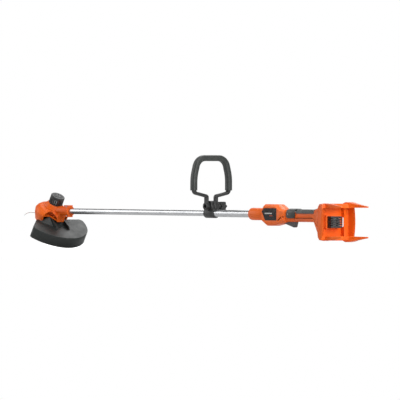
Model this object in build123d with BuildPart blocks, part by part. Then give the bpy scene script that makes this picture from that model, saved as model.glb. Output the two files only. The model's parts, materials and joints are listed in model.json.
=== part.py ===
from build123d import *
import os
from math import cos, pi, radians, sin, tan

# String trimmer with a telescopic shaft, a motor in the cutting head and an empty battery bay.
# Millimetres.  +X runs along the shaft towards the operator, +Z is up, -Y is the left-hand side.
# The origin is on the shaft axis, at the middle of the rear grip.

# ---- driving dimensions ------------------------------------------------------------------
HEAD_X = -1442.0            # where the spool axis crosses the shaft axis
HEAD_TILT = 30.0            # spool axis leans this far from vertical, towards the operator
LOWER_TUBE_R = 10.0
UPPER_TUBE_R = 12.5
TUBE_WALL = 1.5
LOWER_TUBE_X = (-1396.0, -400.0)
UPPER_TUBE_X = (-553.0, -182.0)
RUNNING = 0.05              # radial clearance of a running fit
GAP = 0.4                   # gap between pieces that move past each other

HANDLE_X = -533.0           # plane of the loop handle
HANDLE_PIVOT_Z = 25.0
LOOP_HALF_W = 77.0          # centre line of the loop's side bars
LOOP_TOP_Z = 193.0          # centre line of the loop's top bar
LOOP_BAR_R = 11.0
LOOP_CORNER, LOOP_SEAM_R = 7.0, 0.9

BODY_X = (-222.0, -86.0)    # control housing in front of the grip
BODY_HALF = 27.0
GRIP_W, GRIP_H, GRIP_CORNER, GRIP_Z = 38.0, 43.0, 13.0, -4.0
SHELL = 3.0                 # wall of the moulded shells

BAY_Z = -24.0               # middle of the battery bay
BAY_FRONT_X = 139.5         # front wall of the bay
BAY_SHELF_X = 155.7         # step on each side of the front wall
BAY_REAR_X = 187.5          # rear edge of the side walls
BAY_HALF_W, BAY_HALF_H = 66.5, 49.0
BAY_OUT_W, BAY_OUT_H = 144.0, 128.0
HORN_X = 265.0              # tips of the four horns

CAP_R, CAP_N = 25.0, (31.0, 62.0)
CASE_R = 62.0
GUARD_R, GUARD_S = 130.0, 16.0
GUARD_N = -27.0             # top face of the guard, along the spool axis
SKIRT = 39.0
SPOOL_R = 44.0
CUT_N = -50.0               # cutting plane

# ---- planes and small helpers -------------------------------------------------------------
TILT_SIN, TILT_COS = sin(radians(HEAD_TILT)), cos(radians(HEAD_TILT))
head = Plane(origin=(HEAD_X, 0, 0), x_dir=(TILT_COS, 0, -TILT_SIN), z_dir=(TILT_SIN, 0, TILT_COS))
head_side = Plane(origin=(HEAD_X, 0, 0), x_dir=(TILT_COS, 0, -TILT_SIN), z_dir=(0, -1, 0))
head_axis = Axis((HEAD_X, 0, 0), (TILT_SIN, 0, TILT_COS))

os.makedirs("parts", exist_ok=True)


def keep(piece, name):
    """Label a finished sub-part and write it."""
    piece.part.label = name
    export_step(piece.part, f"parts/{name}.step")


def drum(plane, radius, start, end, mode=Mode.ADD, at=(0, 0)):
    """A round bar or hole along a plane's normal, from start to end."""
    with BuildSketch(plane.offset(start)) as face:
        with Locations(at):
            Circle(radius)
    extrude(face.sketch, amount=end - start, mode=mode)


def sleeve(plane, outer, inner, start, end, at=(0, 0)):
    """A tube along a plane's normal."""
    with BuildSketch(plane.offset(start)) as face:
        with Locations(at):
            Circle(outer)
            Circle(inner, mode=Mode.SUBTRACT)
    extrude(face.sketch, amount=end - start)


def slab(plane, width, height, start, end, corner=0.0, mode=Mode.ADD, at=(0, 0)):
    """A rectangular bar along a plane's normal, with rounded corners where corner is given."""
    with BuildSketch(plane.offset(start)) as face:
        with Locations(at):
            if corner:
                RectangleRounded(width, height, corner)
            else:
                Rectangle(width, height)
    extrude(face.sketch, amount=end - start, mode=mode)


def prism(plane, points, start, end, mode=Mode.ADD):
    """A straight-sided outline, extruded along a plane's normal."""
    with BuildSketch(plane.offset(start)) as face:
        with BuildLine():
            Polyline(points, close=True)
        make_face()
    extrude(face.sketch, amount=end - start, mode=mode)


def turned(points, mode=Mode.ADD):
    """A profile of (radius, height) pairs, revolved about the spool axis."""
    with BuildSketch(head_side) as face:
        with BuildLine():
            Polyline(points, close=True)
        make_face()
    revolve(face.sketch, axis=head_axis, mode=mode)


def coil(plane, radius, wire, pitch, height):
    """A helical spring along a plane's normal."""
    with BuildLine() as path:
        Helix(pitch, height, radius, center=plane.origin, direction=plane.z_dir)
    with BuildSketch(Plane(path.line @ 0, z_dir=path.line % 0)) as face:
        Circle(wire)
    sweep(face.sketch, path=path.line)


# =================================================================== cutting head
# The housing is a dome round the motor, with a bowl in front of the spool, a neck for the
# tube and a foot that the guard is screwed to.
NECK_R, NECK_REAR = 17.5, -1338.0
LUG_W, LUG_H, LUG_L = 18.0, 42.0, 28.0      # screw lugs above and below the tube
FLOOR_N = -9.0
MOTOR_R, MOTOR_LOW = 22.5, -6.0
BOWL_S = 24.0               # the bowl ends here and the guard's mound begins
NECK_SCREW_X, NECK_SCREW_Z = -1352.0, 15.5
FOOT_SCREW = (46.0, 0.0)
GUARD_SCREWS = [(30, -12), (30, 12)]

dome_profile = [(0, 31), (26, 31), (29, 29), (35.5, 17), (37.5, 13.5), (50, 10),
                (58, 2), (CASE_R, -6), (CASE_R, FLOOR_N), (0, FLOOR_N)]
dome_hollow = [(25.5, -6), (25.5, 24), (33, 13.5), (47.5, 7), (57, -3), (57.5, -6)]
dome_seam = [(35, 13.9), (40, 13.9), (40, 15.5), (35, 15.5)]
bowl_profile = [(CASE_R, FLOOR_N), (60, -20), (52, -42), (49, -42), (57, -20), (59, FLOOR_N)]

with BuildPart() as head_plan:
    drum(head, CASE_R + 1, -60, 60)
    slab(head, 100, 200, -60, 60, mode=Mode.SUBTRACT, at=(BOWL_S + 50, 0))
    drum(head, 38, FLOOR_N, 60)
    prism(head, [(0, -28), (30, -27), (57, -15), (57, 15), (30, 27), (0, 28)], FLOOR_N, 60)

with BuildPart() as head_housing:
    turned(dome_profile)
    turned(bowl_profile)
    add(head_plan.part, mode=Mode.INTERSECT)
    prism(head_side, [(20, -5), (34, -5), (57, -12), (57, 26), (30, 26), (20, 12)], -14.5, 14.5)
    drum(Plane.YZ, NECK_R, HEAD_X + 24, NECK_REAR)
    slab(Plane.YZ, LUG_W, LUG_H, NECK_REAR - LUG_L, NECK_REAR)
    turned(dome_hollow, mode=Mode.SUBTRACT)
    turned(dome_seam, mode=Mode.SUBTRACT)
    for spot in GUARD_SCREWS:
        drum(head, 4.5, FLOOR_N, 4, at=spot)
    drum(head, MOTOR_R + 0.1, MOTOR_LOW, 40, mode=Mode.SUBTRACT)
    drum(head, CAP_R + 0.1, CAP_N[0], 70, mode=Mode.SUBTRACT)
    drum(head, 9, FLOOR_N - 1, 0, mode=Mode.SUBTRACT)
    drum(Plane.YZ, LOWER_TUBE_R, LOWER_TUBE_X[0], NECK_REAR + 1, mode=Mode.SUBTRACT)
    drum(Plane.YZ, 6, HEAD_X + 24, LOWER_TUBE_X[0], mode=Mode.SUBTRACT)
    for side in (-1, 1):
        spot = (NECK_SCREW_X, side * NECK_SCREW_Z)
        drum(Plane.XZ, 1.5, -7.5, 7, mode=Mode.SUBTRACT, at=spot)
        drum(Plane.XZ, 3.2, 6.5, 30, mode=Mode.SUBTRACT, at=spot)
    drum(head_side, 1.5, -12, 13, mode=Mode.SUBTRACT, at=FOOT_SCREW)
    drum(head_side, 3.2, 10, 30, mode=Mode.SUBTRACT, at=FOOT_SCREW)
    for spot in GUARD_SCREWS:
        drum(head, 2, -12, 3, mode=Mode.SUBTRACT, at=spot)

for side, half in (("left", Keep.TOP), ("right", Keep.BOTTOM)):
    with BuildPart() as motor_housing:
        add(head_housing.part)
        split(bisect_by=Plane.XZ, keep=half)
    keep(motor_housing, f"motor_housing_{side}")

with BuildPart() as head_screws:
    for side in (-1, 1):
        spot = (NECK_SCREW_X, side * NECK_SCREW_Z)
        drum(Plane.XZ, 1.5, -7, 6.5, at=spot)
        drum(Plane.XZ, 3, 6.5, 9, at=spot)
    drum(head_side, 1.5, -11, 10, at=FOOT_SCREW)
    drum(head_side, 3, 10, 12.5, at=FOOT_SCREW)
keep(head_screws, "head_screws")

# ---- motor, standing in the dome and the cap ------------------------------------------------
SHAFT_R = 4.0
SHAFT_N = (-62.0, 56.0)
BEARING_R = 8.0

with BuildPart() as motor_can:
    sleeve(head, MOTOR_R, MOTOR_R - 1.5, -2, 50)
keep(motor_can, "motor_can")

with BuildPart() as motor_stator:
    sleeve(head, MOTOR_R - 1.6, 13, 6, 42)
    with BuildSketch(head.offset(3)) as slots:
        with PolarLocations(15.5, 6):
            RectangleRounded(6.5, 7, 1.5)
    extrude(amount=42, mode=Mode.SUBTRACT)
keep(motor_stator, "motor_stator")

with BuildPart() as stator_windings:
    with BuildSketch(head.offset(2)) as bundles:
        with PolarLocations(15.5, 6):
            RectangleRounded(6.2, 6.7, 1.4)
    extrude(amount=44)
keep(stator_windings, "stator_windings")

with BuildPart() as motor_rotor:
    sleeve(head, 11.6, SHAFT_R, 6, 42)
keep(motor_rotor, "motor_rotor")

with BuildPart() as motor_shaft:
    drum(head, SHAFT_R, *SHAFT_N)
    chamfer(motor_shaft.edges().filter_by(GeomType.CIRCLE), 0.6)
keep(motor_shaft, "motor_shaft")

for place, low, high in (("lower", MOTOR_LOW, -2), ("upper", 50, 54)):
    with BuildPart() as end_plate:
        sleeve(head, MOTOR_R, BEARING_R, low, high)
    keep(end_plate, f"motor_end_plate_{place}")
    with BuildPart() as bearing:
        sleeve(head, BEARING_R, 6.4, low, high)
        sleeve(head, 5.4, SHAFT_R + RUNNING, low, high)
        sleeve(head, 6.5, 5.3, low + 1.2, high - 1.2)
    keep(bearing, f"motor_bearing_{place}")

with BuildPart() as motor_cap:
    drum(head, CAP_R, *CAP_N)
    fillet(motor_cap.faces().sort_by(head_axis)[-1].edges(), 3.5)
    drum(head, CAP_R - 2, CAP_N[0] - 1, CAP_N[1] - 2.5, mode=Mode.SUBTRACT)
    with BuildSketch(head.offset(36)) as vents:
        with PolarLocations(CAP_R, 20):
            RectangleRounded(4.5, 3.2, 1.2)
    extrude(amount=16, mode=Mode.SUBTRACT)
    with BuildSketch(head.offset(55)) as top_vents:
        with PolarLocations(14, 10):
            RectangleRounded(9, 2.6, 1.2)
    extrude(amount=10, mode=Mode.SUBTRACT)
keep(motor_cap, "motor_cap")

# ---- spool head, which turns with the motor shaft -------------------------------------------
HUB_TOP, HUB_BOTTOM = -13.0, -60.0
COVER_BOTTOM = -66.0
EYELET_T = 8.0

LINE_R = 1.0
EYELET_R, EYELET_RIM_R = 3.5, 5.0
EYELET_REACH = (38.0, 44.5, 46.0)
eyelet_plane = Plane(head.from_local_coords((0, EYELET_T, CUT_N)), x_dir=(0, 1, 0), z_dir=-head.x_dir)

with BuildPart() as spool_housing:
    turned([(SHAFT_R, HUB_TOP), (9, HUB_TOP), (9, -30), (40, -30), (SPOOL_R, -34), (SPOOL_R, HUB_BOTTOM),
            (SPOOL_R - 2.5, HUB_BOTTOM), (SPOOL_R - 2.5, -35), (38.5, -33), (SHAFT_R, -33)])
    drum(eyelet_plane, EYELET_R, 36, 50, mode=Mode.SUBTRACT)
keep(spool_housing, "spool_housing")

with BuildPart() as line_eyelet:
    sleeve(eyelet_plane, EYELET_R, LINE_R + RUNNING, EYELET_REACH[0], EYELET_REACH[1])
    sleeve(eyelet_plane, EYELET_RIM_R, LINE_R + RUNNING, EYELET_REACH[1], EYELET_REACH[2])
keep(line_eyelet, "line_eyelet")

with BuildPart() as spool:
    turned([(9.2, -34), (36, -34), (36, -36), (16, -36), (16, -55), (36, -55), (36, -57), (9.2, -57)])
keep(spool, "spool")

with BuildPart() as wound_line:
    turned([(16.1, -36.1), (31, -36.1), (32.5, -45.5), (31, -54.9), (16.1, -54.9)])
keep(wound_line, "wound_line")

with BuildPart() as spool_cover:
    turned([(18.5, HUB_BOTTOM), (SPOOL_R, HUB_BOTTOM), (SPOOL_R, -63), (SPOOL_R - 3, COVER_BOTTOM),
            (18.5, COVER_BOTTOM)])
    with BuildSketch(head.offset(COVER_BOTTOM)) as grooves:
        with PolarLocations(31, 12):
            RectangleRounded(16, 4, 1.9)
    extrude(amount=2, mode=Mode.SUBTRACT)
keep(spool_cover, "spool_cover")

# The button's hollow stem leaves the shaft's end clear when the button is pushed in.
BUTTON_R, BUTTON_N = 18.0, (-74.0, -64.0)
STEM_R, STEM_TOP = 8.8, -58.0

with BuildPart() as bump_button:
    drum(head, BUTTON_R, *BUTTON_N)
    fillet(bump_button.faces().sort_by(head_axis)[0].edges(), 4)
    drum(head, STEM_R, BUTTON_N[1] - 1, STEM_TOP)
    drum(head, SHAFT_R + 0.5, BUTTON_N[0] + 5, STEM_TOP + 1, mode=Mode.SUBTRACT)
keep(bump_button, "bump_button")

# The line leaves the eyelet, curls round in the cutting plane and ends cut.
line_points = [head.from_local_coords((s, t, n)) for s, t, n in
               [(-46, 8, -50), (-64, 4, -50), (-76, -20, -50), (-73, -48, -50.5), (-56, -71, -51)]]


def corner_radii(points):
    """The largest arc that each pair of neighbouring runs has room for."""
    radii = []
    for before, corner, after in zip(points, points[1:], points[2:]):
        turn = (corner - before).get_angle(after - corner)
        shorter = min((corner - before).length, (after - corner).length)
        radii.append(0.45 * shorter / tan(radians(turn / 2)))
    return radii


print("cutting line arcs, mm:", [round(radius, 1) for radius in corner_radii(line_points)])
with BuildPart() as cutting_line:
    with BuildLine() as line_path:
        FilletPolyline(*line_points, radius=corner_radii(line_points))
    with BuildSketch(Plane(line_points[0], z_dir=line_path.line % 0)) as line_section:
        Circle(LINE_R)
    sweep(line_section.sketch, path=line_path.line)
print("cutting line, mm:", round(line_path.wires()[0].length, 1), "volume / section:",
      round(cutting_line.part.volume / (pi * LINE_R ** 2), 1))
keep(cutting_line, "cutting_line")

# ---- guard ----------------------------------------------------------------------------------
PLATE = 3.0
GUARD_FRONT_S = 12.0
MOUND_R, MOUND_TOP_R, MOUND_TOP = 64.0, 39.0, -9.6
MOUND_S = BOWL_S + 0.6
RIB_T = 26.0
OPENING_WIDTH, OPENING_DEPTH = 188.0, 24.0      # where the line passes the front of the skirt
BLADE_T = (92.0, 112.0)
BLADE_S = (GUARD_FRONT_S + PLATE, GUARD_FRONT_S + PLATE + 1.5)

mound_profile = [(MOUND_R + 3, -30), (MOUND_R + 3, -26), (MOUND_R + 1, -24.5), (MOUND_R - 2, -25.5),
                 (MOUND_TOP_R, MOUND_TOP), (10, MOUND_TOP), (10, MOUND_TOP - 3),
                 (MOUND_TOP_R - 2, MOUND_TOP - 3), (MOUND_R - 4, -30)]

with BuildPart() as guard_mound:
    turned(mound_profile)
    slab(head, 200, 300, -80, 20, mode=Mode.SUBTRACT, at=(MOUND_S - 100, 0))
    for side in (-1, 1):
        prism(head_side, [(30, -20), (30, -9.4), (38, -9.4), (78, -16), (90, -28), (66, -28)],
              side * RIB_T - 2, side * RIB_T + 2)

with BuildPart() as guard:
    with BuildSketch(head.offset(GUARD_N)) as guard_plan:
        with Locations((GUARD_S, 0)):
            Circle(GUARD_R)
        with Locations((GUARD_FRONT_S - 100, 0)):
            Rectangle(200, 400, mode=Mode.SUBTRACT)
        with BuildLine():
            Polyline([(0, -58), (0, -160), (84, -160), (72, -127)], close=True)
        make_face(mode=Mode.SUBTRACT)
        fillet(guard_plan.vertices(), 14)
    extrude(amount=-SKIRT)
    chamfer(guard.faces().sort_by(head_axis)[-1].edges(), 1.5)
    with BuildSketch(head.offset(GUARD_N - PLATE)) as guard_inside:
        add(guard_plan.sketch_local)
        offset(amount=-PLATE)
    extrude(amount=-SKIRT, mode=Mode.SUBTRACT)
    slab(head, 2 * OPENING_DEPTH, OPENING_WIDTH, GUARD_N - SKIRT - 1, GUARD_N - PLATE, mode=Mode.SUBTRACT,
         at=(GUARD_FRONT_S, 0))
    drum(head, MOUND_R - 2, GUARD_N - PLATE - 1, GUARD_N + 1, mode=Mode.SUBTRACT)
    add(guard_mound.part)
    for spot in GUARD_SCREWS:
        drum(head, 2, -14, 0, mode=Mode.SUBTRACT, at=spot)
keep(guard, "guard")

with BuildPart() as guard_screws:
    for spot in GUARD_SCREWS:
        drum(head, 4.5, -15, MOUND_TOP - 3, at=spot)
        drum(head, 2, MOUND_TOP - 3, 3, at=spot)
keep(guard_screws, "guard_screws")

# The blade is screwed to the inside of the skirt's front wall and reaches out past its end.
cutter_plane = Plane(head.from_local_coords((0, 0, 0)), x_dir=(0, 1, 0), z_dir=head.x_dir)

with BuildPart() as line_cutter_blade:
    slab(cutter_plane, BLADE_T[1] - BLADE_T[0], 26, *BLADE_S, at=(sum(BLADE_T) / 2, -47))
keep(line_cutter_blade, "line_cutter_blade")

with BuildPart() as blade_screws:
    for level in (-39.0, -55.0):
        drum(cutter_plane, 3, BLADE_S[1], BLADE_S[1] + 2, at=(BLADE_T[1] - 6, level))
keep(blade_screws, "blade_screws")

# =================================================================== shaft
with BuildPart() as lower_tube:
    sleeve(Plane.YZ, LOWER_TUBE_R, LOWER_TUBE_R - TUBE_WALL, *LOWER_TUBE_X)
keep(lower_tube, "lower_tube")

# A guide ring on the inner end of the lower tube runs in the upper tube.
with BuildPart() as tube_guide:
    sleeve(Plane.YZ, UPPER_TUBE_R - TUBE_WALL - RUNNING, LOWER_TUBE_R, LOWER_TUBE_X[1] - 16,
           LOWER_TUBE_X[1] - 2)
keep(tube_guide, "tube_guide_ring")

with BuildPart() as upper_tube:
    sleeve(Plane.YZ, UPPER_TUBE_R, UPPER_TUBE_R - TUBE_WALL, *UPPER_TUBE_X)
    slab(Plane.XY, 80, 2, 0, 20, mode=Mode.SUBTRACT, at=(UPPER_TUBE_X[0], 0))
keep(upper_tube, "upper_tube")

with BuildPart() as tube_bush:
    sleeve(Plane.YZ, UPPER_TUBE_R - TUBE_WALL, LOWER_TUBE_R + RUNNING, UPPER_TUBE_X[0], UPPER_TUBE_X[0] + 30)
    sleeve(Plane.YZ, UPPER_TUBE_R, LOWER_TUBE_R + RUNNING, UPPER_TUBE_X[0] - 3, UPPER_TUBE_X[0])
    slab(Plane.XY, 90, 2, 0, 20, mode=Mode.SUBTRACT, at=(UPPER_TUBE_X[0], 0))
keep(tube_bush, "tube_bush")

# ---- clamp round the joint of the two tubes; it also carries the loop handle ------------------
CLAMP_X = (-557.0, -505.0)
CLAMP_R = 16.5
LUG_HALF = 13.0
BOLT_R = 4.0
BOSS_R, BOSS_Y = 13.0, (LUG_HALF + GAP, 27.0)
LEG_Y = 20.7
FRAME_T, STRIP_W = 14.0, 10.5
pivot = (HANDLE_X, HANDLE_PIVOT_Z)

with BuildPart() as tube_clamp:
    drum(Plane.YZ, CLAMP_R, *CLAMP_X)
    prism(Plane.XZ, [(CLAMP_X[0], 0), (CLAMP_X[0], 26), (-551, 40), (-545, 44), (-523, 44), (-517, 40),
                     (-515, 28), (-512, 18), (CLAMP_X[1], 12), (CLAMP_X[1], 0)], -LUG_HALF, LUG_HALF)
    chamfer(tube_clamp.faces().sort_by(Axis.Z)[-1].edges(), 2)
    drum(Plane.YZ, UPPER_TUBE_R, CLAMP_X[0] - 1, CLAMP_X[1] + 1, mode=Mode.SUBTRACT)
    slab(Plane.XY, 80, 2, 8, 60, mode=Mode.SUBTRACT, at=(HANDLE_X, 0))
    drum(Plane.XZ, BOLT_R + RUNNING, -30, 30, mode=Mode.SUBTRACT, at=pivot)
keep(tube_clamp, "tube_clamp")

with BuildPart() as handle_frame:
    for side in (-1, 1):
        with BuildSketch(Plane.YZ.offset(HANDLE_X - FRAME_T / 2)) as strip:
            with BuildLine() as strip_path:
                FilletPolyline((side * LEG_Y, HANDLE_PIVOT_Z), (side * LEG_Y, 60), (side * 76, 72),
                               (side * LOOP_HALF_W, 88), radius=[6, 12])
            trace(line_width=STRIP_W)
        extrude(amount=FRAME_T)
        inner, outer = side * BOSS_Y[0], side * BOSS_Y[1]
        drum(Plane.XZ, BOSS_R, min(inner, outer), max(inner, outer), at=pivot)
    drum(Plane.XZ, BOLT_R, -40, 40, mode=Mode.SUBTRACT, at=pivot)
    with BuildSketch(Plane.XZ.offset(BOSS_Y[1] - 8)) as hexagon:
        with Locations(pivot):
            RegularPolygon(7.6, 6)
    extrude(amount=20, mode=Mode.SUBTRACT)
keep(handle_frame, "loop_handle_frame")

with BuildPart() as handle_grip:
    with BuildLine(Plane.YZ.offset(HANDLE_X)) as loop_path:
        FilletPolyline((-LOOP_HALF_W, 80), (-LOOP_HALF_W, 128), (-60, LOOP_TOP_Z), (60, LOOP_TOP_Z),
                       (LOOP_HALF_W, 128), (LOOP_HALF_W, 80), radius=[150, 38, 38, 150])
    with BuildSketch(Plane(loop_path.line @ 0, x_dir=(1, 0, 0), z_dir=loop_path.line % 0)) as loop_section:
        RectangleRounded(2 * LOOP_BAR_R + 1, 2 * LOOP_BAR_R - 1, LOOP_CORNER)
        with Locations((-LOOP_BAR_R - 0.5, 0), (LOOP_BAR_R + 0.5, 0)):
            Circle(LOOP_SEAM_R, mode=Mode.SUBTRACT)
    sweep(loop_section.sketch, path=loop_path.line)
    add(handle_frame.part, mode=Mode.SUBTRACT)
keep(handle_grip, "loop_handle_grip")

with BuildPart() as clamp_bolt:
    drum(Plane.XZ, BOLT_R, -52, BOSS_Y[1] - 8, at=pivot)
    with BuildSketch(Plane.XZ.offset(BOSS_Y[1] - 8)) as bolt_head:
        with Locations(pivot):
            RegularPolygon(7.5, 6)
    extrude(amount=4.5)
    with BuildSketch(Plane.XZ.offset(BOSS_Y[1] - 6)) as socket:
        with Locations(pivot):
            RegularPolygon(3.4, 6)
    extrude(amount=10, mode=Mode.SUBTRACT)
keep(clamp_bolt, "clamp_bolt")

with BuildPart() as clamp_knob:
    with BuildSketch(Plane.XZ.offset(-58)) as lobes:
        with Locations(pivot):
            Circle(14)
            with PolarLocations(13, 6):
                Circle(4.5)
        fillet(lobes.vertices(), 1.8)
    extrude(amount=22)
    chamfer(clamp_knob.faces().filter_by(Axis.Y).edges(), 0.8)
    drum(Plane.XZ, 9, -36, -BOSS_Y[1] - GAP, at=pivot)
    drum(Plane.XZ, BOLT_R + RUNNING, -53, 0, mode=Mode.SUBTRACT, at=pivot)
keep(clamp_knob, "clamp_knob")

# =================================================================== control housing and grip
COLLAR_X = (-303.0, BODY_X[0])
COLLAR_R = 21.5
FLARE = [(64.0, GRIP_W, GRIP_H, GRIP_CORNER, GRIP_Z), (136.0, 112.0, 104.0, 18.0, -22.0)]
HOUSING_END_X = FLARE[-1][0]
SEAM_Z = -13.3
TRIGGER_PIVOT = (-111.0, -22.0)
LOCK_PIVOT = (-73.0, 2.0)
SCREWS = [(-95.5, -7.6, 20), (-177.5, 17.5, 20), (-135, -12, 20), (25, 7, 14)]   # and the head's seat
SCREW_R, SCREW_HEAD_R, SCREW_HOLE_R = 1.5, 4.0, 4.2
BOSS_THIN_R, BOSS_THICK_R = 4.5, 6.0        # away from the screw's head, and round it
SWITCH_X, SWITCH_Z = (-66.0, -44.0), (-4.0, 6.5)

BODY_BEVEL = (7.0, 12.0)    # of the side faces' edges: along the face, and inwards from it

body_outline = [(BODY_X[0], -24), (BODY_X[0], 13), (-206, 35), (-140, 35), (-112, 19), (BODY_X[1], 17),
                (BODY_X[1], -26), (-112, -31), (-165, -40), (-194, -40)]


def grip_form(inset):
    """The outside of the control housing, grip and flare, or the hollow inside when inset."""
    with BuildPart() as form:
        with BuildSketch(Plane.XZ) as side_face:
            with BuildLine():
                Polyline(body_outline, close=True)
            make_face()
            if inset:
                offset(amount=-inset, kind=Kind.INTERSECTION)
        extrude(amount=BODY_HALF - inset, both=True)
        for end in (0, -1):
            flank = form.faces().sort_by(Axis.Y)[end]
            chamfer(flank.edges(), BODY_BEVEL[0] - inset, BODY_BEVEL[1] - inset, reference=flank)
        slab(Plane.YZ, GRIP_W - 2 * inset, GRIP_H - 2 * inset, BODY_X[1] - 20 + inset, FLARE[0][0] + 0.1,
             corner=GRIP_CORNER - inset, at=(0, GRIP_Z))
        for place, width, height, corner, level in FLARE:
            with BuildSketch(Plane.YZ.offset(place)):
                with Locations((0, level)):
                    RectangleRounded(width - 2 * inset, height - 2 * inset, corner - inset)
        loft(ruled=True)
    return form.part


housing_outside = grip_form(0)
housing_inside = grip_form(SHELL)

with BuildPart() as housing:
    add(housing_outside)
    add(housing_inside, mode=Mode.SUBTRACT)
    drum(Plane.YZ, CLAMP_R, BODY_X[0] + 1, UPPER_TUBE_X[1])
    drum(Plane.YZ, UPPER_TUBE_R, BODY_X[0] - 1, UPPER_TUBE_X[1] + 1, mode=Mode.SUBTRACT)
    for place, level, seat in SCREWS:
        drum(Plane.XZ, BOSS_THIN_R, -26, 26, at=(place, level))
        drum(Plane.XZ, BOSS_THICK_R, seat - 4, 26, at=(place, level))
    for low, high in ((-26, -14.2), (14.2, 26)):
        drum(Plane.XZ, 4.5, low, high, at=TRIGGER_PIVOT)
    add(housing_outside, mode=Mode.INTERSECT)
    slab(Plane.XY, 76, 14.6, -60, -19, mode=Mode.SUBTRACT, at=(-82, 0))
    slab(Plane.XY, 53, 60, 9.5, 40, mode=Mode.SUBTRACT, at=(-58.5, 0))
    for place, level, seat in SCREWS:
        drum(Plane.XZ, SCREW_R, -14, 30, mode=Mode.SUBTRACT, at=(place, level))
        drum(Plane.XZ, SCREW_HOLE_R, seat, 30, mode=Mode.SUBTRACT, at=(place, level))
    drum(Plane.XZ, 2, -25, 25, mode=Mode.SUBTRACT, at=LOCK_PIVOT)
    drum(Plane.XZ, 2, -20.5, 20.5, mode=Mode.SUBTRACT, at=TRIGGER_PIVOT)

COVER_X, FAR_BELOW = -38.5, -120.0
SEAM = 2.6
RIB_RISE = 8.0              # the cover's middle rib reaches this far above its edge


def cover_zone(seam):
    """The outline of the grip's lower cover from the side, wider by the seam's width."""
    rear = HOUSING_END_X + 1
    return [(COVER_X - seam, SEAM_Z + seam), (54, SEAM_Z + seam), (74, -17 + seam), (rear, -41 + seam),
            (rear, FAR_BELOW), (COVER_X - seam, FAR_BELOW)]


with BuildPart() as cover_rib:
    rib_end = HOUSING_END_X - 1
    prism(Plane.XZ, [(COVER_X, SEAM_Z + RIB_RISE), (54, SEAM_Z + RIB_RISE), (74, -17 + RIB_RISE),
                     (rib_end, -41 + RIB_RISE), (rib_end, FAR_BELOW), (COVER_X, FAR_BELOW)], -1, 1)
    add(housing_outside, mode=Mode.INTERSECT)

with BuildPart() as grip_lower_cover:
    add(housing.part)
    prism(Plane.XZ, cover_zone(0), -100, 100, mode=Mode.INTERSECT)
    add(cover_rib.part)
keep(grip_lower_cover, "grip_lower_cover")

PANEL = [(-130, 21.5), (-201, 21.5), (-213, 9), (-193, -21.5), (-130, -21.5)]
PANEL_T = 1.2
VENT_W, VENT_DEPTH = 5.0, 6.0

# Each half has a recess for its label panel and a slot through its wall by the rear of the housing.
for name, side, half in (("left", 1, Keep.TOP), ("right", -1, Keep.BOTTOM)):
    recess = (side * (BODY_HALF - PANEL_T), side * (BODY_HALF + 1))
    with BuildPart() as shell_half:
        add(housing.part)
        split(bisect_by=Plane.XZ, keep=half)
        prism(Plane.XZ, cover_zone(SEAM), -100, 100, mode=Mode.SUBTRACT)
        with BuildSketch(Plane.XZ.offset(side * (BODY_HALF - VENT_DEPTH))) as vent:
            with BuildLine():
                Line((-124, -22.5), (-104, -9))
            trace(line_width=VENT_W)
        extrude(amount=side * (VENT_DEPTH + 1), mode=Mode.SUBTRACT)
        prism(Plane.XZ, PANEL, *recess, mode=Mode.SUBTRACT)
    keep(shell_half, f"rear_housing_{name}")
    with BuildPart() as label_panel:
        with BuildSketch(Plane.XZ.offset(recess[0])) as panel_face:
            with BuildLine():
                Polyline(PANEL, close=True)
            make_face()
            offset(amount=-0.3)
            fillet(panel_face.vertices(), 3)
        extrude(amount=side * (PANEL_T + 0.3))
        chamfer(label_panel.faces().sort_by(Axis.Y)[(1 - side) // -2].edges(), 0.5)
    keep(label_panel, f"label_panel_{name}")

with BuildPart() as front_collar:
    drum(Plane.YZ, COLLAR_R, *COLLAR_X)
    chamfer(front_collar.faces().sort_by(Axis.X)[0].edges(), 6)
    drum(Plane.YZ, UPPER_TUBE_R, COLLAR_X[0] - 1, COLLAR_X[1] + 1, mode=Mode.SUBTRACT)
keep(front_collar, "front_collar")

with BuildPart() as housing_screws:
    for place, level, seat in SCREWS:
        drum(Plane.XZ, SCREW_R, -13, seat, at=(place, level))
        drum(Plane.XZ, SCREW_HEAD_R, seat, seat + 2.5, at=(place, level))
keep(housing_screws, "housing_screws")

# The soft overlay sits on the top and the upper sides of the grip and the start of the flare.
RUBBER_T = 1.3
RUBBER_X = (-31.0, 78.0)
RUBBER_Z = (3.7, 60.0)

with BuildPart() as rubber_grip:
    slab(Plane.XY, RUBBER_X[1] - RUBBER_X[0], 80, *RUBBER_Z, at=(sum(RUBBER_X) / 2, 0))
    add(grip_form(-RUBBER_T), mode=Mode.INTERSECT)
    add(housing_outside, mode=Mode.SUBTRACT)
keep(rubber_grip, "rubber_grip")

# ---- trigger, lock-out and what they work ----------------------------------------------------
TRIGGER = [(-116, -25), (-114, -18), (-104, -15), (-50, -17), (-48, -21), (-48, -28), (-53, -42.5),
           (-58, -45), (-112, -31)]

with BuildPart() as trigger:
    with BuildSketch(Plane.XZ) as trigger_face:
        with BuildLine():
            Polyline(TRIGGER, close=True)
        make_face()
        fillet(trigger_face.vertices(), 2)
    extrude(amount=6.9, both=True)
    chamfer(trigger.faces().filter_by(Axis.Y).edges(), 0.8)
    slab(Plane.XY, 46, 9, -30, -10, mode=Mode.SUBTRACT, at=(-78, 0))
    slab(Plane.XY, 7, 9, -30, -15, at=(-52.5, 0))
    drum(Plane.XZ, 2 + RUNNING, -8, 8, mode=Mode.SUBTRACT, at=TRIGGER_PIVOT)
keep(trigger, "trigger")

with BuildPart() as trigger_pin:
    drum(Plane.XZ, 2, -20, 20, at=TRIGGER_PIVOT)
keep(trigger_pin, "trigger_pin")

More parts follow.
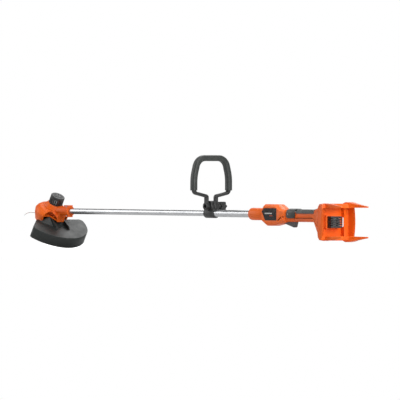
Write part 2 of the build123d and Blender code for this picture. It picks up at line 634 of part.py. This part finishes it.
with BuildPart() as trigger_spring:
    coil(Plane(origin=(TRIGGER_PIVOT[0], 8, TRIGGER_PIVOT[1]), z_dir=(0, 1, 0)), 3.4, 0.5, 1.4, 5.6)
keep(trigger_spring, "trigger_spring")

with BuildPart() as micro_switch:
    slab(Plane.XZ, SWITCH_X[1] - SWITCH_X[0], SWITCH_Z[1] - SWITCH_Z[0], -5.2, 5.2, corner=0.8,
         at=((SWITCH_X[0] + SWITCH_X[1]) / 2, (SWITCH_Z[0] + SWITCH_Z[1]) / 2))
    slab(Plane.XY, 3, 5, SWITCH_Z[0] - 1.2, SWITCH_Z[0], at=(-52, 0))
    for x in (-63, -52, -47):
        slab(Plane.XY, 0.8, 4, SWITCH_Z[1], SWITCH_Z[1] + 2.5, at=(x, 0))
keep(micro_switch, "micro_switch")

LOCK_X = (-81.5, -34.0)
LEVER_CORNER = 9.0          # squarer inside than the grip, so that the lever can tip down over it
with BuildPart() as lockout_lever:
    slab(Plane.YZ, GRIP_W + 7, GRIP_H + 7, *LOCK_X, corner=GRIP_CORNER + 3.5, at=(0, GRIP_Z))
    with BuildSketch(Plane.XZ) as lever_face:
        with Locations(((LOCK_X[0] + LOCK_X[1]) / 2, 4.2)):
            RectangleRounded(LOCK_X[1] - LOCK_X[0], 34, 10)
    extrude(amount=40, both=True, mode=Mode.INTERSECT)
    slab(Plane.YZ, GRIP_W + 1, GRIP_H + 0.4, LOCK_X[0] - 1, LOCK_X[1] + 1, corner=LEVER_CORNER,
         mode=Mode.SUBTRACT, at=(0, GRIP_Z))
    slab(Plane.XY, 8, 8, 11.5, 18, at=(-58, 0))
    drum(Plane.XZ, 2 + RUNNING, -30, 30, mode=Mode.SUBTRACT, at=LOCK_PIVOT)
keep(lockout_lever, "lockout_lever")

with BuildPart() as lockout_pin:
    drum(Plane.XZ, 2, -22.4, 22.4, at=LOCK_PIVOT)
keep(lockout_pin, "lockout_pin")

with BuildPart() as lockout_spring:
    coil(Plane(origin=(LOCK_PIVOT[0], 8, LOCK_PIVOT[1]), z_dir=(0, 1, 0)), 3.4, 0.5, 1.4, 5.6)
keep(lockout_spring, "lockout_spring")

with BuildPart() as control_board:
    slab(Plane.XZ, 30, 44, -11.6, -10, corner=2, at=(-156, 0))
keep(control_board, "control_board")

with BuildPart() as board_components:
    for x, z, size in ((-163, 12, 6), (-149, 12, 6), (-149, -1, 4)):
        drum(Plane.XZ, size, -22, -11.6, at=(x, z))
    slab(Plane.XZ, 24, 10, -19, -11.6, at=(-156, -14))
keep(board_components, "board_components")

# =================================================================== battery housing
# A box open to the rear.  Its front wall carries the terminal block on a raised pad inside a
# recess, and a horn stands out behind each of its four corners.
BAY_TOP = BAY_Z + BAY_HALF_H
BOX_X = 158.0
BOX_CORNER = 18.0
RECESS_HALF = 46.6
PAD_W, PAD_H = 62.0, 46.0
PAD_X = BAY_SHELF_X - 3.0
HORN_PEAKS = (45.6, 41.0)   # of the right-hand and the left-hand horns
REAR_BULGE = 8.0            # the side walls' rear edges stand out this much at their middle
RIM_X = BAY_REAR_X - 12.0
RIM_GROOVE = 2.5
WINDOW_HALF_H = 17.0        # openings that the battery's side latches click into
WINDOW_X = (130.0, BAY_SHELF_X - 3.0)


def horn(peak, plan):
    """An upper horn at +Y with the given plan; its hump behind the wall is as high as peak."""
    with BuildPart() as blade:
        prism(Plane.XZ, [(148, BAY_TOP + 0.4), (HORN_X, BAY_TOP + 1.5), (HORN_X, 31), (236, 34.5),
                         (207, 39), (184, peak - 1.8), (168, peak), (148, 38)], -BAY_OUT_W / 2, 0)
        prism(Plane.XY, plan, -120, 80, mode=Mode.INTERSECT)
        chamfer(blade.edges().filter_by(GeomType.LINE).group_by(Axis.Z)[-1], 0.8)
    return blade.part


right_horn = horn(HORN_PEAKS[0], [(140, 40), (RIM_X, 44), (215, 56), (HORN_X, 62), (HORN_X, 68), (215, 72),
                                  (150, 72), (140, 60)])
left_horn = mirror(horn(HORN_PEAKS[1], [(140, 30), (RIM_X, 36), (215, 42), (HORN_X, 47), (HORN_X, 53),
                                        (215, 57), (150, 55), (140, 45)]), about=Plane.XZ)

with BuildPart() as bay_walls:
    slab(Plane.YZ, BAY_OUT_W, BAY_OUT_H, BOX_X, RIM_X, corner=BOX_CORNER, at=(0, BAY_Z))
    with BuildSketch(Plane.XZ.offset(-BAY_OUT_W / 2)) as wall_side:
        with BuildLine():
            low, high = BAY_Z - BAY_OUT_H / 2 + 2, BAY_Z + BAY_OUT_H / 2 - 2
            rim_end = BAY_REAR_X - REAR_BULGE
            ThreePointArc((rim_end, low), (BAY_REAR_X, BAY_Z), (rim_end, high))
            Polyline((rim_end, high), (RIM_X - 10, high), (RIM_X - 10, low), (rim_end, low))
        make_face()
    extrude(amount=BAY_OUT_W)

with BuildPart() as battery_housing:
    box_front = (BOX_X, BAY_OUT_W, BAY_OUT_H, BOX_CORNER, BAY_Z)
    for place, width, height, corner, level in (FLARE[-1], box_front):
        with BuildSketch(Plane.YZ.offset(place)):
            with Locations((0, level)):
                RectangleRounded(width, height, corner)
    loft(ruled=True)
    add(bay_walls.part)
    for upper in (right_horn, left_horn):
        add(upper)
        mirror(upper, about=Plane.XY.offset(BAY_Z))
    slab(Plane.YZ, 2 * BAY_HALF_W, 2 * BAY_HALF_H, BAY_SHELF_X, HORN_X + 10, corner=3, mode=Mode.SUBTRACT,
         at=(0, BAY_Z))
    slab(Plane.YZ, 2 * RECESS_HALF, 2 * BAY_HALF_H, BAY_FRONT_X, BAY_SHELF_X + 1, mode=Mode.SUBTRACT,
         at=(0, BAY_Z))
    slab(Plane.YZ, PAD_W, PAD_H, BAY_FRONT_X - 1, PAD_X, corner=4, at=(0, BAY_Z))
    slab(Plane.YZ, 30, 20, HOUSING_END_X - 1, PAD_X + 1, mode=Mode.SUBTRACT, at=(0, BAY_Z))
    for side in (-1, 1):
        slab(Plane.YZ, 30, 2 * WINDOW_HALF_H, *WINDOW_X, corner=4, mode=Mode.SUBTRACT,
             at=(side * (RECESS_HALF + 14), BAY_Z))
        slab(Plane.YZ, RIM_GROOVE, 2 * BAY_HALF_H - 4, BAY_REAR_X - REAR_BULGE - 6, BAY_REAR_X + 1,
             mode=Mode.SUBTRACT, at=(side * (BAY_HALF_W + BAY_OUT_W / 2) / 2, BAY_Z))
keep(battery_housing, "battery_housing")

BLOCK_X = (PAD_X, 173.0)
SLOT_DEPTH, SLOT_PITCH = 12.0, 8.0
slot_levels = [BAY_Z + SLOT_PITCH * (row - 1.5) for row in range(4)]

with BuildPart() as terminal_block:
    slab(Plane.YZ, 49, 40, *BLOCK_X, corner=1.5, at=(0, BAY_Z))
    for level in slot_levels:
        slab(Plane.YZ, 60, 3, BLOCK_X[1] - SLOT_DEPTH, BLOCK_X[1] + 1, mode=Mode.SUBTRACT, at=(0, level))
keep(terminal_block, "terminal_block")

with BuildPart() as terminal_blades:
    for level in slot_levels:
        for middle, width in ((-8, 14), (12, 8)):
            slab(Plane.YZ, width, 0.9, BLOCK_X[1] - SLOT_DEPTH, BLOCK_X[1] - 1.5, at=(middle, level))
keep(terminal_blades, "terminal_blades")
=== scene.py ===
import json
from math import cos, radians, sin

import bmesh
import bpy
from mathutils import Matrix, Vector


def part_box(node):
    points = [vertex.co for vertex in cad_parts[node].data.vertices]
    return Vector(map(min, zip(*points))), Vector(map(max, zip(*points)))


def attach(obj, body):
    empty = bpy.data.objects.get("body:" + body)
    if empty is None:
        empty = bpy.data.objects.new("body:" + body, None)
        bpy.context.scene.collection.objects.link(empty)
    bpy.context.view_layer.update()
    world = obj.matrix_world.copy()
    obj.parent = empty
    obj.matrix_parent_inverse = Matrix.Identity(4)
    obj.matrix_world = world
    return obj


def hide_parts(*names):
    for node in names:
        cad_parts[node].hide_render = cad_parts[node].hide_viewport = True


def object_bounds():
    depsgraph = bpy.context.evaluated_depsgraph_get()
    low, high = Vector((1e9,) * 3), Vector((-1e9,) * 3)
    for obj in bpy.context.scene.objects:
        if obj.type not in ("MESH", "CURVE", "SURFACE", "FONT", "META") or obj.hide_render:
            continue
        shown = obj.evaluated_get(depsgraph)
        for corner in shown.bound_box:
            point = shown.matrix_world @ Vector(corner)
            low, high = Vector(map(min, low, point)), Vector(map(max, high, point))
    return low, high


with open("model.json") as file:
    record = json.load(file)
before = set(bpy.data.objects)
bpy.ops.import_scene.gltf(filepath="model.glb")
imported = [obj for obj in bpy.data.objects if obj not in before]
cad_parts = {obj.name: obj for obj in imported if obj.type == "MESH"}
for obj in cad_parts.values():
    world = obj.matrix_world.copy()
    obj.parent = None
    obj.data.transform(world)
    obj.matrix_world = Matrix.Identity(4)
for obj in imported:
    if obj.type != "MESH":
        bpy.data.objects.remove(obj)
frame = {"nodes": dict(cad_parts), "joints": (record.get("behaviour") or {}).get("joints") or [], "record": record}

cad_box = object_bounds()
scene = bpy.context.scene


# ---- helpers for materials ------------------------------------------------------------------
class Surface:
    """A Principled material, with textures in the object's own coordinates, in metres."""

    def __init__(self, name, roughness, metallic=0.0, **sockets):
        self.material = bpy.data.materials.new(name)
        self.material.use_nodes = True
        self.tree = self.material.node_tree
        self.shader = self.tree.nodes["Principled BSDF"]
        self.shader.inputs["Roughness"].default_value = roughness
        self.shader.inputs["Metallic"].default_value = metallic
        for socket, value in sockets.items():
            self.shader.inputs[socket.replace("_", " ")].default_value = value
        self.place = self.add("ShaderNodeTexCoord").outputs["Object"]
        self.normal = None

    def add(self, kind, sockets=None, **properties):
        """A node with its properties set, and its sockets set to values or joined to outputs."""
        made = self.tree.nodes.new(kind)
        for key, value in properties.items():
            setattr(made, key, value)
        for key, value in (sockets or {}).items():
            if isinstance(value, bpy.types.NodeSocket):
                self.tree.links.new(value, made.inputs[key])
            else:
                made.inputs[key].default_value = value
        return made

    def stretched(self, scale):
        """The object's coordinates, scaled along each axis."""
        return self.add("ShaderNodeMapping", {"Vector": self.place, "Scale": scale}).outputs["Vector"]

    def noise(self, scale, detail=2.0, stretch=(1, 1, 1)):
        return self.add("ShaderNodeTexNoise", {"Vector": self.stretched(stretch), "Scale": scale,
                                               "Detail": detail}).outputs["Fac"]

    def cells(self, scale):
        """Distance to the nearest of many scattered points, for pebbled grain."""
        return self.add("ShaderNodeTexVoronoi", {"Vector": self.place, "Scale": scale}).outputs["Distance"]

    def fit(self, value, low, high, to_low=0.0, to_high=1.0):
        """A value remapped from low..high, and held inside the new range."""
        return self.add("ShaderNodeMapRange", {"Value": value, "From Min": low, "From Max": high,
                                               "To Min": to_low, "To Max": to_high}).outputs["Result"]

    def maths(self, operation, a, b=0.0):
        made = self.add("ShaderNodeMath", {0: a, 1: b}, operation=operation)
        return made.outputs["Value"]

    def mix(self, share, a, b):
        """Colour a turning to colour b as share goes from 0 to 1."""
        made = self.add("ShaderNodeMix", {0: share, 6: a, 7: b}, data_type="RGBA")
        return made.outputs[2]

    def edges(self, radius):
        """1 on the edges that stand out or fold in, and 0 on flat faces."""
        rounded = self.add("ShaderNodeBevel", {"Radius": radius}, samples=4).outputs["Normal"]
        flat = self.add("ShaderNodeNewGeometry").outputs["Normal"]
        facing = self.add("ShaderNodeVectorMath", {0: rounded, 1: flat}, operation="DOT_PRODUCT")
        return self.fit(facing.outputs["Value"], 0.99, 0.86)

    def corners(self, distance):
        """1 in the open, and less in corners and creases."""
        return self.add("ShaderNodeAmbientOcclusion", {"Distance": distance}, samples=6).outputs["AO"]

    def bump(self, height, depth, strength=1.0):
        """Raises the surface by height times depth, on top of the bumps so far."""
        sockets = {"Height": height, "Distance": depth, "Strength": strength}
        if self.normal:
            sockets["Normal"] = self.normal
        self.normal = self.add("ShaderNodeBump", sockets).outputs["Normal"]

    def finish(self, colour, roughness=None):
        self.tree.links.new(colour, self.shader.inputs["Base Color"])
        if roughness:
            self.tree.links.new(roughness, self.shader.inputs["Roughness"])
        if self.normal:
            self.tree.links.new(self.normal, self.shader.inputs["Normal"])
        return self.material


def rgba(red, green, blue):
    return (red, green, blue, 1.0)


def moulded(name, colour, shade, rubbed, roughness, grain=1100.0, depth=0.00006, wear=0.35, crease_shade_strength=0.35,
            specular=0.5):
    """Moulded plastic: sparked grain, slow colour drift, paler rubbed edges and painted shade darkening the
    creases.
    """
    surface = Surface(name, roughness, Specular_IOR_Level=specular)
    tone = surface.mix(surface.fit(surface.noise(7, 3), 0.35, 0.7), colour, shade)
    # painted shade: the colour turns towards the shade colour in corners and creases, where shade falls
    painted_crease_shade = surface.fit(surface.corners(0.006), 0.75, 0.25, 0.0, crease_shade_strength)
    tone = surface.mix(painted_crease_shade, tone, shade)
    scuff = surface.maths("MULTIPLY", surface.edges(0.0012), surface.fit(surface.noise(60, 4), 0.4, 0.7))
    tone = surface.mix(surface.maths("MULTIPLY", scuff, wear), tone, rubbed)
    shine = surface.fit(surface.noise(35, 4), 0.3, 0.7, roughness - 0.06, roughness + 0.07)
    surface.bump(surface.noise(grain, 2), depth)
    surface.bump(surface.noise(18, 1), 0.0002, 0.25)
    return surface.finish(tone, shine)


def soft_rubber(name, colour, shade, roughness=0.62):
    """Soft overmould: pebbled grain with a dusty bloom on its raised edges."""
    surface = Surface(name, roughness, Sheen_Weight=0.12, Sheen_Roughness=0.5)
    tone = surface.mix(surface.fit(surface.noise(9, 3), 0.35, 0.7), colour, shade)
    bloom = surface.maths("MULTIPLY", surface.edges(0.0015), 0.25)
    tone = surface.mix(bloom, tone, rgba(0.16, 0.17, 0.165))
    shine = surface.fit(surface.noise(50, 3), 0.3, 0.7, roughness - 0.08, roughness + 0.08)
    surface.bump(surface.cells(520), 0.00012)
    surface.bump(surface.noise(1500, 1), 0.00004)
    return surface.finish(tone, shine)


def drawn_aluminium(name):
    """Clear-anodised tube: fine lines along its length, with faint handling marks."""
    surface = Surface(name, 0.3, metallic=1.0)
    lines = surface.noise(1.0, 3, stretch=(5, 1500, 1500))
    haze = surface.noise(14, 4)
    tone = surface.mix(surface.fit(haze, 0.3, 0.7), rgba(0.60, 0.61, 0.62), rgba(0.52, 0.53, 0.545))
    tone = surface.mix(surface.fit(lines, 0.35, 0.75, 0.0, 0.35), tone, rgba(0.44, 0.45, 0.46))
    marks = surface.noise(220, 2, stretch=(0.25, 1, 1))
    shine = surface.maths("ADD", surface.fit(lines, 0.3, 0.7, 0.24, 0.36),
                          surface.fit(marks, 0.62, 0.72, 0.0, 0.12))
    surface.bump(lines, 0.00003)
    return surface.finish(tone, shine)


def plated_steel(name, colour, dark, roughness=0.32):
    """Plated or ground steel, with turning marks, a little dulling and painted shade darkening its corners."""
    surface = Surface(name, roughness, metallic=1.0)
    marks = surface.noise(2600, 2)
    tone = surface.mix(surface.fit(surface.noise(90, 3), 0.35, 0.7), colour, dark)
    # painted shade: darker in corners and creases, where shade falls
    tone = surface.mix(surface.fit(surface.corners(0.003), 0.8, 0.3, 0.0, 0.6), tone, dark)
    surface.bump(marks, 0.00002)
    return surface.finish(tone, surface.fit(marks, 0.3, 0.7, roughness - 0.06, roughness + 0.1))


def gloss_panel(name):
    """A glossy dark label panel with two plain stripes and no lettering."""
    surface = Surface(name, 0.12, Coat_Weight=0.6, Coat_Roughness=0.06)
    split = surface.add("ShaderNodeSeparateXYZ", {"Vector": surface.place})
    low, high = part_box("label_panel_left")
    middle, reach = (low + high) / 2, (high - low) / 2

    def band(axis, centre, half):
        """1 within half of centre along one axis, with a soft edge."""
        away = surface.maths("ABSOLUTE", surface.maths("SUBTRACT", split.outputs[axis], centre))
        return surface.fit(away, half, half - 0.0004)

    long_stripe = surface.maths("MULTIPLY", band("X", middle.x - 0.1 * reach.x, 0.5 * reach.x),
                                band("Z", middle.z + 0.15 * reach.z, 0.0022))
    short_stripe = surface.maths("MULTIPLY", band("X", middle.x + 0.25 * reach.x, 0.22 * reach.x),
                                 band("Z", middle.z - 0.25 * reach.z, 0.0015))
    tone = surface.mix(surface.fit(surface.noise(30, 3), 0.35, 0.7), rgba(0.012, 0.011, 0.012),
                       rgba(0.024, 0.022, 0.022))
    tone = surface.mix(long_stripe, tone, rgba(0.55, 0.55, 0.54))
    tone = surface.mix(short_stripe, tone, rgba(0.50, 0.10, 0.05))
    shine = surface.fit(surface.noise(120, 3), 0.35, 0.7, 0.09, 0.2)
    surface.bump(surface.noise(900, 1), 0.00001)
    return surface.finish(tone, shine)


def enamelled_copper(name):
    surface = Surface(name, 0.28, metallic=1.0)
    turns = surface.noise(1.0, 2, stretch=(900, 900, 120))
    tone = surface.mix(surface.fit(turns, 0.35, 0.65), rgba(0.62, 0.26, 0.10), rgba(0.30, 0.10, 0.04))
    surface.bump(turns, 0.0001)
    return surface.finish(tone)


def circuit_board(name):
    """Green solder mask over faint copper tracks."""
    surface = Surface(name, 0.3, Coat_Weight=0.4, Coat_Roughness=0.1)
    tracks = surface.add("ShaderNodeTexBrick", {"Vector": surface.stretched((160, 160, 160)), "Scale": 1.0})
    tone = surface.mix(surface.fit(tracks.outputs["Fac"], 0, 1), rgba(0.012, 0.10, 0.045),
                       rgba(0.03, 0.16, 0.07))
    surface.bump(tracks.outputs["Fac"], 0.00003)
    return surface.finish(tone)


def nylon_line(name):
    """Extruded monofilament: slightly clear, with drawing lines and a scuffed haze."""
    surface = Surface(name, 0.28, Subsurface_Weight=0.3, Subsurface_Scale=0.002)
    tone = surface.mix(surface.fit(surface.noise(160, 3), 0.35, 0.7), rgba(0.60, 0.61, 0.60),
                       rgba(0.42, 0.43, 0.42))
    shine = surface.fit(surface.noise(500, 2), 0.35, 0.7, 0.2, 0.42)
    surface.bump(surface.noise(2200, 1), 0.00002)
    return surface.finish(tone, shine)


ORANGE, ORANGE_SHADE = rgba(0.86, 0.145, 0.008), rgba(0.72, 0.100, 0.006)
ORANGE_RUBBED = rgba(0.93, 0.30, 0.10)
materials = {
    "orange_plastic": moulded("orange_plastic", ORANGE, ORANGE_SHADE, ORANGE_RUBBED, 0.42,
                              specular=0.3),
    "black_plastic": moulded("black_plastic", rgba(0.030, 0.031, 0.031), rgba(0.018, 0.019, 0.019),
                             rgba(0.15, 0.15, 0.15), 0.46),
    "grey_plastic": moulded("grey_plastic", rgba(0.14, 0.13, 0.135), rgba(0.085, 0.08, 0.083),
                            rgba(0.30, 0.29, 0.29), 0.40),
    "guard_plastic": moulded("guard_plastic", rgba(0.017, 0.021, 0.020), rgba(0.011, 0.014, 0.013),
                             rgba(0.19, 0.21, 0.21), 0.50, grain=800.0, depth=0.0001),
    "soft_grip": soft_rubber("soft_grip", rgba(0.034, 0.039, 0.036), rgba(0.022, 0.026, 0.024), 0.5),
    "tube_aluminium": drawn_aluminium("tube_aluminium"),
    "steel": plated_steel("steel", rgba(0.62, 0.62, 0.63), rgba(0.30, 0.30, 0.31)),
    "black_steel": plated_steel("black_steel", rgba(0.05, 0.05, 0.052), rgba(0.02, 0.02, 0.021), 0.4),
    "panel": gloss_panel("panel"),
    "copper": enamelled_copper("copper"),
    "board": circuit_board("board"),
    "line": nylon_line("line"),
}

for subpart in frame["record"]["subparts"]:
    mesh = frame["nodes"][subpart["node"]].data
    mesh.materials.clear()
    mesh.materials.append(materials[subpart["material_slot"]])


# ---- shells with softened edges -------------------------------------------------------------
slot_of = {subpart["node"]: subpart["material_slot"] for subpart in frame["record"]["subparts"]}
body_of = {node: body for body, nodes in frame["record"]["behaviour"]["bodies"].items() for node in nodes}
SHARP = radians(24)
FLAT = radians(0.5)
WELD = 0.00001
ROUNDING_STEPS = 2


def soften(node, width):
    """A finished shell that stands for a CAD node: the same shape, with its sharp edges rounded."""
    shape = bmesh.new()
    shape.from_mesh(frame["nodes"][node].data)
    bmesh.ops.remove_doubles(shape, verts=shape.verts, dist=WELD)
    bmesh.ops.dissolve_limit(shape, angle_limit=FLAT, verts=shape.verts, edges=shape.edges)
    for face in shape.faces:
        face.smooth = True
    mesh = bpy.data.meshes.new(node + "_shell")
    shape.to_mesh(mesh)
    shape.free()
    mesh.materials.append(materials[slot_of[node]])
    piece = bpy.data.objects.new(node + "_shell", mesh)
    scene.collection.objects.link(piece)
    rounding = piece.modifiers.new("rounded_edges", "BEVEL")
    rounding.width = width
    rounding.segments = ROUNDING_STEPS
    rounding.limit_method = "ANGLE"
    rounding.angle_limit = SHARP
    rounding.use_clamp_overlap = True
    rounding.harden_normals = True
    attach(piece, body_of[node])
    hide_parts(node)
    return piece


SOFTENED = {
    "battery_housing": 0.0012, "rear_housing_left": 0.0008, "rear_housing_right": 0.0008,
    "grip_lower_cover": 0.0008, "front_collar": 0.001, "motor_housing_left": 0.0008,
    "motor_housing_right": 0.0008, "guard": 0.0008, "tube_clamp": 0.0008, "loop_handle_frame": 0.0009,
    "clamp_knob": 0.0006, "motor_cap": 0.0005, "spool_housing": 0.0006, "spool_cover": 0.0005,
    "trigger": 0.0006, "lockout_lever": 0.0008, "rubber_grip": 0.0004, "terminal_block": 0.0004,
}
for node, width in SOFTENED.items():
    soften(node, width)


# ---- cutting line ---------------------------------------------------------------------------
LINE_DIAMETER = 0.002
LINE_ROUTE = [(-46, 8, -50), (-64, 4, -50), (-76, -20, -50), (-73, -48, -50.5), (-56, -71, -51)]
MILLIMETRES = 1000


def cutting_line():
    """The free end of the line: out of the eyelet and round in the cutting plane."""
    spin = next(joint for joint in frame["joints"] if joint["name"] == "spool_spin")
    up = Vector(spin["axis"]).normalized()
    across = Vector((0, 1, 0))
    along = across.cross(up)
    origin = Vector(spin["pos_m"])
    points = [origin + (along * s + across * t + up * n) / MILLIMETRES for s, t, n in LINE_ROUTE]
    curve = bpy.data.curves.new("cutting_line_end", "CURVE")
    curve.dimensions = "3D"
    curve.bevel_depth = LINE_DIAMETER / 2
    curve.bevel_resolution = 3
    curve.use_fill_caps = True
    spline = curve.splines.new("NURBS")
    spline.points.add(len(points) - 1)
    for knot, point in zip(spline.points, points):
        knot.co = (*point, 1.0)
    spline.order_u = 3
    spline.use_endpoint_u = True
    spline.resolution_u = 16
    curve.materials.append(materials["line"])
    piece = bpy.data.objects.new("cutting_line_end", curve)
    scene.collection.objects.link(piece)
    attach(piece, "spool_head")
    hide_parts("cutting_line")


cutting_line()


# ---- floor, light and camera ----------------------------------------------------------------
FLOOR_RADIUS = 2.4
FLOOR_DROP = 0.002


def floor():
    """A large pale disc just under the object, evenly bright where the camera sees it."""
    low, high = cad_box
    shape = bmesh.new()
    bmesh.ops.create_circle(shape, cap_ends=True, segments=96, radius=FLOOR_RADIUS)
    mesh = bpy.data.meshes.new("floor")
    shape.to_mesh(mesh)
    shape.free()
    piece = bpy.data.objects.new("floor", mesh)
    piece.location = ((low.x + high.x) / 2, 0, low.z - FLOOR_DROP)
    scene.collection.objects.link(piece)
    surface = Surface("floor", 0.8, Emission_Color=rgba(1, 1, 1))
    tone = surface.mix(surface.noise(0.6, 2), rgba(0.68, 0.68, 0.68), rgba(0.64, 0.64, 0.64))
    seen = surface.add("ShaderNodeLightPath").outputs["Is Camera Ray"]
    surface.tree.links.new(surface.maths("MULTIPLY", seen, 0.8), surface.shader.inputs["Emission Strength"])
    mesh.materials.append(surface.finish(tone))


def softbox(name, towards, distance, size, power):
    """A square area light that looks at the middle of the object."""
    low, high = cad_box
    lamp = bpy.data.lights.new(name, "AREA")
    lamp.shape = "SQUARE"
    lamp.size = size
    lamp.energy = power
    piece = bpy.data.objects.new(name, lamp)
    way = Vector(towards).normalized()
    piece.location = (low + high) / 2 + way * distance
    piece.rotation_mode = "QUATERNION"
    piece.rotation_quaternion = way.to_track_quat("Z", "Y")
    piece.visible_camera = False
    scene.collection.objects.link(piece)


def daylight(seen, cast):
    """An even white surround: seen is its brightness in view, cast is what it lights with."""
    world = bpy.data.worlds.new("surround")
    world.use_nodes = True
    tree = world.node_tree
    ground = tree.nodes["Background"]
    ground.inputs["Strength"].default_value = cast
    ground.inputs["Color"].default_value = rgba(1, 1, 1)
    shown = tree.nodes.new("ShaderNodeBackground")
    shown.inputs["Strength"].default_value = seen
    shown.inputs["Color"].default_value = rgba(1, 1, 1)
    blend = tree.nodes.new("ShaderNodeMixShader")
    path = tree.nodes.new("ShaderNodeLightPath")
    tree.links.new(path.outputs["Is Camera Ray"], blend.inputs[0])
    tree.links.new(ground.outputs[0], blend.inputs[1])
    tree.links.new(shown.outputs[0], blend.inputs[2])
    tree.links.new(blend.outputs[0], tree.nodes["World Output"].inputs["Surface"])
    scene.world = world


def camera(azimuth, elevation, roll, aim, distance, width):
    """A long lens that looks at aim and takes in width there."""
    lens = bpy.data.cameras.new("camera")
    lens.lens = lens.sensor_width * distance / width
    lens.clip_end = 4 * distance
    piece = bpy.data.objects.new("camera", lens)
    turn, rise = radians(azimuth), radians(elevation)
    back = Vector((sin(turn) * cos(rise), -cos(turn) * cos(rise), sin(rise)))
    piece.location = Vector(aim) + back * distance
    piece.rotation_mode = "QUATERNION"
    level = back.to_track_quat("Z", "Y")
    piece.rotation_quaternion = level @ Matrix.Rotation(radians(roll), 3, "Z").to_quaternion()
    scene.collection.objects.link(piece)
    scene.camera = piece


floor()
daylight(seen=1.0, cast=0.24)
softbox("key", (0.25, -0.25, 1.0), 3.0, 2.4, 55)
softbox("front", (-0.80, -0.45, 0.32), 3.2, 1.9, 26)
softbox("rim", (-0.45, 0.62, 0.75), 3.2, 2.4, 44)
softbox("rear", (1.0, -0.05, 0.22), 3.4, 1.6, 72)
camera(azimuth=52.0, elevation=0.4, roll=0.3, aim=(-0.600, 0.003, 0.046), distance=60.0, width=1.4)
scene.view_settings.view_transform = "Standard"
